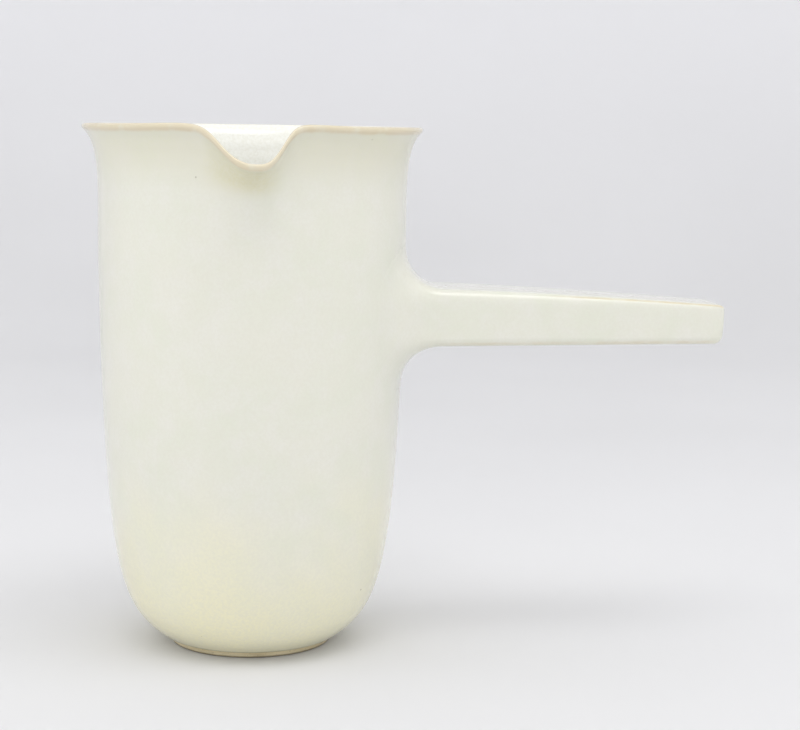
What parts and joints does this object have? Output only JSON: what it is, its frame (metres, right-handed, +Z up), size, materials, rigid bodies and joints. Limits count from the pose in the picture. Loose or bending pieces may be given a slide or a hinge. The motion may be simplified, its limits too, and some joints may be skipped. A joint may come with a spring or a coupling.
{
  "type": "ceramic pitcher",
  "caption": "Glazed ceramic pitcher: tall thrown body with a flared rim, a pulled pouring lip and a straight tapered bar handle at a right angle to it.",
  "frame": {"origin": "centre of the foot's flat underside, on the body's axis", "axes": "+Z up along the body's axis, +X along the handle, -Y the way the lip pours"},
  "size_m": [0.2471, 0.1381, 0.2005],
  "materials": {
    "cream_glaze": "satin to glossy cream glaze with a faint green cast, breaking to tan on the rim",
    "bare_clay": "unglazed matte clay, finely turned"
  },
  "bodies": {
    "root": {"pitcher_body": "cream_glaze", "handle": "cream_glaze", "handle_luting_coil": "cream_glaze", "foot": "bare_clay"}
  },
  "joints": []
}
